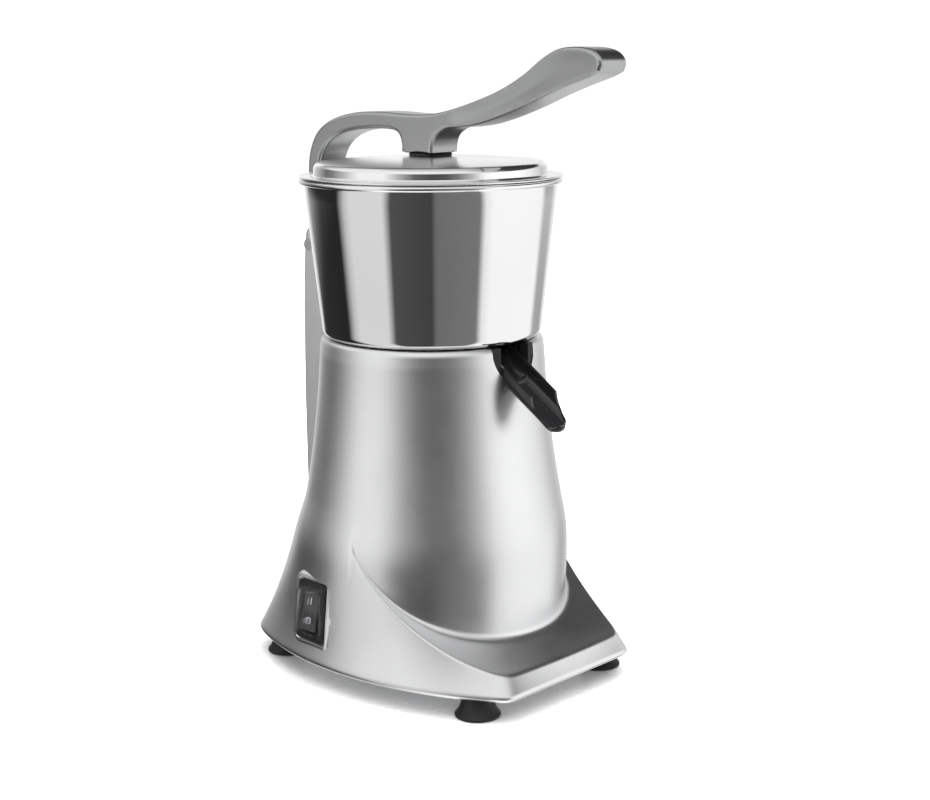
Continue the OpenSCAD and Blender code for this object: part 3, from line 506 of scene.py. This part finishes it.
gland_hole = rod_y((GLAND_X, GLAND_Z), ((70, 8.77), (110, 8.77)), 8, math.pi / 8)
gland_boss = rod_y((GLAND_X, GLAND_BOSS_Z), ((84, 15.5), (95.2, 15.5), (96, 14.7)))
buttress_outline = [(80, 30), (97.5, 30), (97.5, 100), (80, 100)]
buttress = tool_object(*plate_data(buttress_outline, 19))
deck = rod_z(((184, 66.5), (190, 66.5)), 96)
cut(body, [pad, gland_boss, buttress, deck], "UNION")
cut(body, [notch, recess, cut_out, gland_face, gland_hole])
clean(body)
smooth(body, 30)

# ---------------------------------------------------------------- rear column


def bevelled(obj, width, segments=4, angle=35.0, sharp=40.0):
    modifier = obj.modifiers.new("edges", "BEVEL")
    modifier.width = width * MM
    modifier.segments = segments
    modifier.limit_method = "ANGLE"
    modifier.angle_limit = math.radians(angle)
    modifier.miter_outer = "MITER_ARC"
    modifier.use_clamp_overlap = False
    bpy.context.view_layer.update()
    apply_modifiers(obj)
    smooth(obj, sharp)


HINGE = (91.5, 258)  # y, z of the lever's pin
rear = curve([(97.8, 130), (98, 160), (97.4, 200), (95.8, 245), (94.6, 262)], 8)
column_outline = ([(79.6, 100.2), (97.5, 100.2)] + rear + arc(84.6, 262, 10, 0, 80, 12)
                  + arc(84.5, 267, 5, 90, 180, 8) + [(79.5, 214)])
column_outline += [(66, 212), (66, 100.2)]
column = piece("column", *plate_data(column_outline, 19), "base", "cast_satin", ["rear_column"])
bevelled(column, 2.2, 4, 50)
clear_profile = ([(0, 90), (barrel_r(100) + 1.0, 90), (barrel_r(100) + 0.9, 100)]
                 + [(max(barrel_r(z), flare_r(math.pi, z)) + 0.25, z)
                    for z in (104, 108, 112, 120, 130, 140, 150, 160, 170, 180, 190, 198)]
                 + [(RIM_R + 2.2, 203.5), (RIM_R + 1.2, 207), (RIM_R + 1.2, 209), (79.2, 214), (79.2, 300),
                    (0, 300)])
fork = tool_object(*plate_data([(60, 244), (120, 244), (120, 300), (60, 300)], 12.5))
pin_hole = rod_x(HINGE, ((-30, 4.0), (30, 4.0)))
cut(column, [tool_object(*lathe_data(clear_profile, 128)), fork, pin_hole])
clean(column)
even_shading(column, 40)

# ---------------------------------------------------------------- lever

LEVER_TOP = [(98, 284), (98, 300), (96.2, 316), (89, 329), (76, 337), (56, 341.6), (34, 342.6),
             (10, 341.6), (-8, 341.8), (-24, 344.2), (-44, 349.4), (-64, 356), (-82, 364.6),
             (-96, 373.6), (-107, 378.6), (-118, 379.95), (-128, 379.15), (-134.6, 377), (-138.2, 373.6),
             (-139, 370)]
HANDLE_UNDER = [(-137.4, 366.4), (-131, 363.6), (-116, 359), (-100, 353.6), (-84, 347.5), (-66, 341.4),
                (-48, 336.6), (-34, 334.6), (-23, 333.6), (-15.5, 329.6), (-12.6, 324), (-12, 318.6)]
ARCH_UNDER = [(13.5, 318.6), (13.8, 325), (16.8, 330.2), (24, 332.2), (40, 332.2), (56, 330.8),
              (69, 327.6), (79, 321.8), (85, 314), (87, 304), (87, 292), (87, 284)]
lever_outline = (curve(LEVER_TOP, 7) + curve(HANDLE_UNDER, 6) + curve(ARCH_UNDER, 6)
                 + [(86.4, 272), (85.4, 264)] + arc(*HINGE, 7.5, 150, 372, 20) + [(98, 272)])
lever = piece("lever", *plate_data(lever_outline, 12), "lever", "lever_satin", ["lever_arm"])
bevelled(lever, 2.5, 6, 60)
bm = bmesh.new()
bm.from_mesh(lever.data)
cuts = [((0, y, 0), (0, 1, 0)) for y in np.arange(-136, 100, 4.0)]
cuts += [((0, 0, z), (0, 0, 1)) for z in np.arange(264, 380, 3.0)]
for place, normal in cuts:
    geometry = bm.verts[:] + bm.edges[:] + bm.faces[:]
    bmesh.ops.bisect_plane(bm, geom=geometry, plane_co=Vector(place) * MM + AXIS, plane_no=normal, dist=1e-7)
top_curve, under_curve = curve(LEVER_TOP, 7), curve(HANDLE_UNDER, 6)


def height_at(points, y):
    ys = [p[0] for p in points]
    zs = [p[1] for p in points]
    order = np.argsort(ys)
    return float(np.interp(y, np.array(ys)[order], np.array(zs)[order]))


for vert in bm.verts:
    x, y, z = (vert.co - AXIS) / MM
    if -134 < y < -30 and abs(x) > 11.9:
        top, under = height_at(top_curve, y), height_at(under_curve, y)
        across = (z - under) / max(top - under, 1)
        along = math.sin(math.pi * min(max((y + 134) / 104, 0), 1)) ** 0.7
        hollow = 2.2 * along * max(math.sin(math.pi * min(max(across, 0), 1)), 0) ** 1.5
        vert.co.x -= math.copysign(hollow * MM, x)
bm.to_mesh(lever.data)
bm.free()
bolt_hole = rod_z(((310, 4), (331, 4)), 48)
hub_hole = rod_x(HINGE, ((-30, 6), (30, 6)))
hub_sides = [tool_object(*plate_data([(80, 246), (104, 246), (104, 268), (80, 268)], 5)) for _ in range(2)]
for tool, shift in zip(hub_sides, (-1, 1)):
    for vert in tool.data.vertices:
        vert.co.x += shift * 16.2 * MM
cut(lever, [bolt_hole, hub_hole] + hub_sides)
clean(lever)
even_shading(lever, 40)

# ---------------------------------------------------------------- bowl, lid, washer

BOWL_Z, FLOOR_R, T = 208.3, 67.5, 1.2  # underside, floor radius and sheet
WALL_STEPS = [(9.1 * k / 12, BOWL_Z + 5 + (294.4 - BOWL_Z) * k / 12) for k in range(1, 13)]  # flare, height
bowl_profile = ([(14.4, BOWL_Z), (FLOOR_R - 5, BOWL_Z)] + arc(FLOOR_R - 5, BOWL_Z + 5, 5, -90, 0, 10)
                + [(FLOOR_R + out, z) for out, z in WALL_STEPS]
                + [(76.9, 300.6)] + arc(78.3, 302.3, 1.7, 235, 450, 14)
                + [(76.9, 304), (76.0, 303.6), (75.5, 302.6)]
                + [(FLOOR_R - T + out, z) for out, z in reversed(WALL_STEPS)]
                + arc(FLOOR_R - 5, BOWL_Z + 5, 5 - T, 0, -90, 8)
                + [(40, BOWL_Z + T), (16.4, BOWL_Z + T), (15.6, BOWL_Z + T + 0.8),
                   (15.6, 218.7), (15.2, 219), (14.7, 219), (14.4, 218.7)])
bowl = piece("bowl_steel", *lathe_data(bowl_profile, 256), "base", "polished_steel", ["bowl"], 40)
slots = []
for turn in (-60, -20, 20, 60):
    a = math.radians(turn - 90)
    ring = arc(52, 0, 3, -90, 90, 10) + arc(36, 0, 3, 90, 270, 10)
    turned_ring = [(x * math.cos(a) - y * math.sin(a), x * math.sin(a) + y * math.cos(a)) for x, y in ring]
    slots.append(tool_object(*stack([[(x, y, z) for x, y in turned_ring] for z in (203, 223)])))
cut(bowl, slots)
clean(bowl)
smooth(bowl, 40)

CROWN_R, CROWN_TOP, DROP, LID_Z = 70.7, 316.9, 3.5, 304.4
dome_out = [(r, CROWN_TOP - DROP * (r / (CROWN_R - 4)) ** 2) for r in np.linspace(CROWN_R - 4.0, 4.2, 14)]
dome_in = [(r, z - T) for r, z in reversed(dome_out)]
lid_profile = ([(CROWN_R - T, LID_Z), (RIM_R + 12.6, LID_Z)] + arc(79.4, LID_Z + 0.6, 0.6, -90, 90, 8)
               + bend((CROWN_R + 1.6, LID_Z + 1.25), (CROWN_R, LID_Z + 1.25), (CROWN_R, LID_Z + 2.9), 6)
               + arc(CROWN_R - 4, CROWN_TOP - DROP - 4, 4, 0, 82, 12) + dome_out[1:] + dome_in[:-1]
               + arc(CROWN_R - 4, CROWN_TOP - DROP - 4, 4 - T, 82, 0, 8))
piece("lid_steel", *lathe_data(lid_profile, 256), "lever", "polished_steel", ["lid"], 40)
washer = ([(4.2, CROWN_TOP - 0.1), (12.6, CROWN_TOP - 0.1)] + arc(12.4, CROWN_TOP + 0.8, 0.7, -60, 90, 6)
          + [(4.2, CROWN_TOP + 1.5)])
piece("washer_rubber", *lathe_data(washer, 96), "lever", "rubber_black", ["lid_washer"], 50)

# ---------------------------------------------------------------- feet

foot_profile = ([(4.2, 0.0), (12.2, 0.0)] + arc(12.4, 1.2, 1.2, -90, 35, 7)
                + curve([(12.6, 2.6), (11.2, 5), (10.0, 8), (9.4, 11.2), (9.4, 12.4)], 4)
                + [(2.6, 12.5), (2.6, 5), (4.2, 5)])
for number, (fx, fy) in enumerate(((-56, -88), (56, -88), (-56, 77), (56, 77))):
    piece("foot_rubber_%d" % number, *lathe_data(foot_profile, 72, (fx, fy, 0)), "base", "rubber_black",
          ["feet"], 42)

# ---------------------------------------------------------------- spout and its collar

SLOPE, SPOUT_W, DEPTH, WALL, SPOUT_LEN = math.radians(34), 24.0, 10.2, 1.8, 58.0


def on_spout(x, s, h):
    """Trough coordinates: x across, s down the slope, h out of it."""
    c, n = math.cos(SLOPE), math.sin(SLOPE)
    return (x, -60 - s * c - h * n, 202 - s * n + h * c)


SWEEP = curve([(36, 0.0), (37.6, -1.6), (40.2, -3.9), (44, -5.9), (49, -7.4), (54, -8.3), (58, -8.6)], 6)


def half_trough(half, depth, r, top, reach, count):
    """Points from the trough's middle up one side, stopping at height top or at x = reach."""
    path = ([(half * k / 30, -depth) for k in range(int(30 * (half - r) / half))]
            + arc(half - r, -depth + r, r, 270, 360, 40)
            + [(half, -depth + r + (depth - r) * k / 30) for k in range(1, 31)])
    kept = [p for k, p in enumerate(path) if k < 2 or (p[1] <= top + 0.001 and p[0] <= reach)]
    xs, hs = [p[0] for p in kept], [p[1] for p in kept]
    along = np.cumsum([0] + [math.hypot(xs[k + 1] - xs[k], hs[k + 1] - hs[k]) for k in range(len(kept) - 1)])
    where = np.linspace(0, along[-1], count)
    return list(zip(np.interp(where, along, xs), np.interp(where, along, hs)))


def trough_ring(s):
    """Closed outline of the trough's wall at s along it."""
    half, r = SPOUT_W / 2, 6.5
    top = 0.0 if s <= 36 else float(np.interp(s, [p[0] for p in SWEEP], [p[1] for p in SWEEP]))
    reach = half + 1 if s < SPOUT_LEN - 12 else math.sqrt(max(144 - (s - SPOUT_LEN + 12) ** 2, 1.0))
    outer = half_trough(half, DEPTH, r, top, reach, 22)
    inner = half_trough(half - WALL, DEPTH - WALL, r - WALL, top, max(reach - 0.4, 0.6), 22)
    ring = [(-x, h) for x, h in reversed(outer)] + outer[1:]
    return ring + list(reversed(inner)) + [(-x, h) for x, h in inner[1:]]


stations = (list(np.linspace(-8, 36, 16)) + list(np.linspace(36, 46, 17))[1:]
            + list(46 + 11.96 * np.sin(np.linspace(0, math.pi / 2, 20)))[1:])
ring_size = len(trough_ring(stations[0]))
spout_points = [on_spout(x, s, h) for s in stations for x, h in trough_ring(s)]
spout_faces = grid_faces(len(stations), ring_size)
spout_faces.append(tuple(range(ring_size - 1, -1, -1)))
spout_faces.append(tuple(range((len(stations) - 1) * ring_size, len(stations) * ring_size)))
spout = piece("spout_trough", spout_points, spout_faces, "base", "black_gloss", ["spout"], 40)
above_spout = [[(x, y, z) for x, y in ((-40, -120), (40, -120), (40, -40), (-40, -40))] for z in (207.6, 240)]
cut(spout, [tool_object(*stack(above_spout))])
clean(spout)
smooth(spout, 40)

# ---------------------------------------------------------------- switch


def rings_at(sections):
    """Rounded rectangles from (width, height, corner radius, level) sections."""
    return [[(x, y, level) for x, y in round_rect(w, h, r, 6)] for w, h, r, level in sections]


BEZEL_STEPS = ((0, -1.2), (0, 0.45), (0.15, 0.75), (0.5, 0.9), (4.2, 0.9), (4.6, 0.7), (4.8, 0.2),
               (4.8, -1.2))
bezel_rings = rings_at([(36 - 2 * inset, 26 - 2 * inset, max(2.2 - 0.25 * inset, 0.9), level)
                        for inset, level in BEZEL_STEPS])
bezel_points = [p for ring in bezel_rings for p in ring]
piece("bezel", [on_switch(p) for p in bezel_points], grid_faces(len(bezel_rings), len(bezel_rings[0]), True),
      "base", "black_matt", ["switch_bezel"], 38)

boot_rings = rings_at([(31, 21, 2, 0.9), (31, 21, 2, 1.4), (30.4, 20.4, 2, 1.7), (29.0, 18.4, 2, 1.8),
                       (28.4, 17.8, 2, 2.2), (28.0, 17.4, 2, 5.2), (27.4, 16.8, 2, 6.0),
                       (26.2, 15.6, 1.6, 6.4), (13, 7.8, 0.8, 6.25), (3, 2, 0.3, 6.2)])
inner_rings = rings_at([(3, 2, 0.3, 5.6), (13, 7.8, 0.8, 5.6), (25.4, 14.8, 1.2, 5.6),
                        (26.4, 15.8, 1.3, 5.0), (26.6, 16.0, 1.3, 2.2), (26.6, 16.0, 1.3, 0.9)])
count = len(boot_rings[0])
boot_points = [on_switch(p) for ring in boot_rings + inner_rings for p in ring]
boot_faces = grid_faces(len(boot_rings), count)
shift = len(boot_rings)
boot_faces += [tuple(v + shift * count for v in face) for face in grid_faces(len(inner_rings), count)]
boot_faces.append(tuple(range((shift - 1) * count, shift * count)))
boot_faces.append(tuple(range(shift * count, (shift + 1) * count)))
last = (shift + len(inner_rings) - 1) * count
boot_faces += [(i, (i + 1) % count, last + (i + 1) % count, last + i) for i in range(count)]
piece("splash_cover", boot_points, boot_faces, "base", "clear_boot", ["switch_boot"], 40)

rocker_profile = (arc(-10.8, -1.6, 1.0, 180, 250, 3) + [(0, -4.5)] + arc(10.8, -1.6, 1.0, -70, 0, 3)
                  + arc(11.1, 2.2, 0.7, 0, 90, 4)
                  + curve([(10.2, 2.95), (6, 2.75), (0, 2.4), (-6, 2.75), (-10.2, 2.95)], 5)
                  + arc(-11.1, 2.2, 0.7, 90, 180, 4))
REST_TILT = Matrix.Rotation(math.radians(7), 3, "Y")
count = len(rocker_profile)


def on_rocker(p):
    return on_switch(REST_TILT @ Vector(p) + Vector((0, 0, -1.4)))


rocker_points = []
for y, inset in ((-7.3, 0.5), (-7.15, 0.15), (-6.8, 0), (6.8, 0), (7.15, 0.15), (7.3, 0.5)):
    rocker_points += [on_rocker((px * (1 - inset / 12), y, pz * (1 - inset / 6)))
                      for px, pz in rocker_profile]
rocker_faces = grid_faces(6, count) + [tuple(range(count - 1, -1, -1)), tuple(range(5 * count, 6 * count))]
piece("rocker_key", rocker_points, rocker_faces, "rocker", "black_gloss", ["switch_rocker"], 40)


def mark_ring(centre, outer, inner, steps=40):
    points = []
    for r, h in ((outer, 0.0), (outer, 0.12), (inner, 0.12), (inner, 0.0)):
        points += [(centre[0] + u, centre[1] + v, centre[2] + h) for u, v in circle(r, steps)]
    return points, grid_faces(4, steps, True)


ring_points, ring_faces = mark_ring((-6.2, 0, 2.72), 2.3, 1.75)
piece("mark_off", [on_rocker(p) for p in ring_points], ring_faces, "rocker", "white_plastic", (), 40, MARK)
bar_points, bar_faces = stack([[(x + 6.2, y, h) for x, y in round_rect(4.4, 0.7, 0.3, 3)]
                               for h in (2.7, 2.86)])
piece("mark_on", [on_rocker(p) for p in bar_points], bar_faces, "rocker", "white_plastic", (), 40, MARK)

# ---------------------------------------------------------------- floor, light and camera

floor_mesh = bpy.data.meshes.new("floor")
floor_mesh.from_pydata([(-3, -3, 0), (3, -3, 0), (3, 3, 0), (-3, 3, 0)], [], [(0, 1, 2, 3)])
floor = bpy.data.objects.new("floor", floor_mesh)
bpy.context.scene.collection.objects.link(floor)
floor_nodes = Nodes("floor_white")
surface = finish_material(floor_nodes, (0.86, 0.86, 0.86), (0.22, 0.3), vary=0.01)
# Painted glow: far from the piece the floor glows white and blends into the plain white surround; near the
# piece the glow fades out, so there the floor is darker and lit by the lamps only
glow_distance = floor_nodes.new("ShaderNodeVectorMath")
glow_distance.operation = "LENGTH"
floor_nodes.link(floor_nodes.coord.outputs["Object"], glow_distance.inputs[0])
floor_nodes.link(floor_nodes.span(glow_distance.outputs["Value"], 0, 1.05, 0.3, 0.75),
                 floor_nodes.shader.inputs["Emission Strength"])
floor_nodes.shader.inputs["Emission Color"].default_value = (1, 1, 1, 1)
floor_mesh.materials.append(surface)
floor.visible_glossy = False

TOWARD, RIGHT = (-0.7193, -0.6947, 0.0), (0.6947, -0.7193, 0.0)


def grey(stops):
    return [((angle + 180) / 360, value) for angle, value in stops]


LOW_BAND = grey([(-180, 0.9), (-156, 0.85), (-147, 0.03), (-96, 0.02), (-87, 0.55), (-80, 0.72), (-46, 0.72),
                 (-38, 0.08), (0, 0.055), (5, 0.16), (46, 0.19), (52, 0.85), (60, 1.0), (122, 1.0),
                 (130, 0.42), (148, 0.38), (155, 0.9), (180, 0.9)])
HIGH_BAND = grey([(-180, 1.2), (-166, 1.0), (-152, 0.6), (-122, 0.16), (-110, 0.22), (-93, 0.5), (-74, 0.95),
                  (-46, 0.95), (-30, 0.45), (-16, 0.14), (0, 0.08), (14, 0.09), (26, 0.2), (40, 0.5),
                  (54, 1.0), (70, 1.15), (92, 1.12), (112, 0.92), (140, 0.6), (165, 0.9), (180, 1.2)])
UPPER_BAND = grey([(-180, 0.1), (-165, 0.15), (-125, 0.85), (-20, 0.95), (40, 0.85), (70, 0.5), (90, 0.06),
                   (165, 0.03), (180, 0.1)])

world = bpy.data.worlds.new("studio")
bpy.context.scene.world = world
world.use_nodes = True
tree = world.node_tree
tree.nodes.clear()


def world_node(kind, **settings):
    node = tree.nodes.new(kind)
    for key, value in settings.items():
        setattr(node, key, value)
    return node


coord = world_node("ShaderNodeTexCoord")


def dot(vector):
    node = world_node("ShaderNodeVectorMath", operation="DOT_PRODUCT")
    node.inputs[1].default_value = vector
    tree.links.new(coord.outputs["Generated"], node.inputs[0])
    return node.outputs["Value"]


angle = world_node("ShaderNodeMath", operation="ARCTAN2")
tree.links.new(dot(RIGHT), angle.inputs[0])
tree.links.new(dot(TOWARD), angle.inputs[1])
turn = world_node("ShaderNodeMath", operation="MULTIPLY_ADD")
turn.inputs[1].default_value = 1 / (2 * math.pi)
turn.inputs[2].default_value = 0.5
tree.links.new(angle.outputs[0], turn.inputs[0])


def band(stops):
    ramp = world_node("ShaderNodeValToRGB")
    elements = ramp.color_ramp.elements
    elements[0].position, elements[0].color = stops[0][0], (*[stops[0][1]] * 3, 1)
    elements[1].position, elements[1].color = stops[-1][0], (*[stops[-1][1]] * 3, 1)
    for position, value in stops[1:-1]:
        elements.new(position).color = (value, value, value, 1)
    tree.links.new(turn.outputs[0], ramp.inputs["Fac"])
    return ramp.outputs["Color"]


def by_height(low_z, high_z, low_colour, high_colour):
    share = world_node("ShaderNodeMapRange", interpolation_type="SMOOTHSTEP")
    share.inputs["From Min"].default_value = low_z
    share.inputs["From Max"].default_value = high_z
    tree.links.new(dot((0, 0, 1)), share.inputs["Value"])
    mix = world_node("ShaderNodeMix", data_type="RGBA")
    tree.links.new(share.outputs["Result"], mix.inputs["Factor"])
    for socket, colour in (("A", low_colour), ("B", high_colour)):
        if isinstance(colour, tuple):
            mix.inputs[socket].default_value = colour
        else:
            tree.links.new(colour, mix.inputs[socket])
    return mix.outputs["Result"]


table_light = by_height(-0.92, -0.8, (1.2, 1.2, 1.2, 1), band(LOW_BAND))
sides_light = by_height(-0.22, -0.08, table_light, band(HIGH_BAND))
raised_light = by_height(0.30, 0.40, sides_light, band(UPPER_BAND))
studio = by_height(0.86, 0.96, raised_light, (0.62, 0.62, 0.62, 1))
lamp = world_node("ShaderNodeBackground")
tree.links.new(studio, lamp.inputs["Color"])
backdrop = world_node("ShaderNodeBackground")
backdrop.inputs["Color"].default_value = (1, 1, 1, 1)
backdrop.inputs["Strength"].default_value = 1.05
path = world_node("ShaderNodeLightPath")
pick = world_node("ShaderNodeMixShader")
tree.links.new(path.outputs["Is Camera Ray"], pick.inputs["Fac"])
tree.links.new(lamp.outputs[0], pick.inputs[1])
tree.links.new(backdrop.outputs[0], pick.inputs[2])
output = world_node("ShaderNodeOutputWorld")
tree.links.new(pick.outputs[0], output.inputs["Surface"])


def area_light(name, place, aim, size, power, glossy):
    data = bpy.data.lights.new(name, "AREA")
    data.shape = "RECTANGLE"
    data.size, data.size_y = size
    data.energy = power
    obj = bpy.data.objects.new(name, data)
    bpy.context.scene.collection.objects.link(obj)
    obj.location = place
    obj.rotation_euler = (Vector(aim) - Vector(place)).to_track_quat("-Z", "Y").to_euler()
    obj.visible_glossy = glossy
    return obj


area_light("top_softbox", (0.1, -0.1, 1.6), (0, 0, 0), (2.2, 2.2), 55, False)
area_light("key_softbox", (-0.9, -1.3, 1.1), (0, 0, 0.15), (0.9, 1.2), 12, False)

bpy.context.scene.view_settings.view_transform = "Standard"
bpy.context.scene.view_settings.look = "None"

camera_data = bpy.data.cameras.new("camera")
camera_data.lens = 64.8
camera_data.sensor_width = 36.0
camera_data.clip_end = 20
camera = bpy.data.objects.new("camera", camera_data)
bpy.context.scene.collection.objects.link(camera)
camera.location = Vector((-732.6, -707.4, 373.3)) * MM + AXIS
YAW, PITCH, ROLL = 0.0197, 0.2006, 0.0057
forward = (Vector(RIGHT) * math.sin(YAW) * math.cos(PITCH) - Vector(TOWARD) * math.cos(YAW) * math.cos(PITCH)
           - Vector((0, 0, 1)) * math.sin(PITCH))
looking = forward.to_track_quat("-Z", "Y").to_matrix()
camera.rotation_euler = (looking @ Matrix.Rotation(-ROLL, 3, "Z")).to_euler()
bpy.context.scene.camera = camera
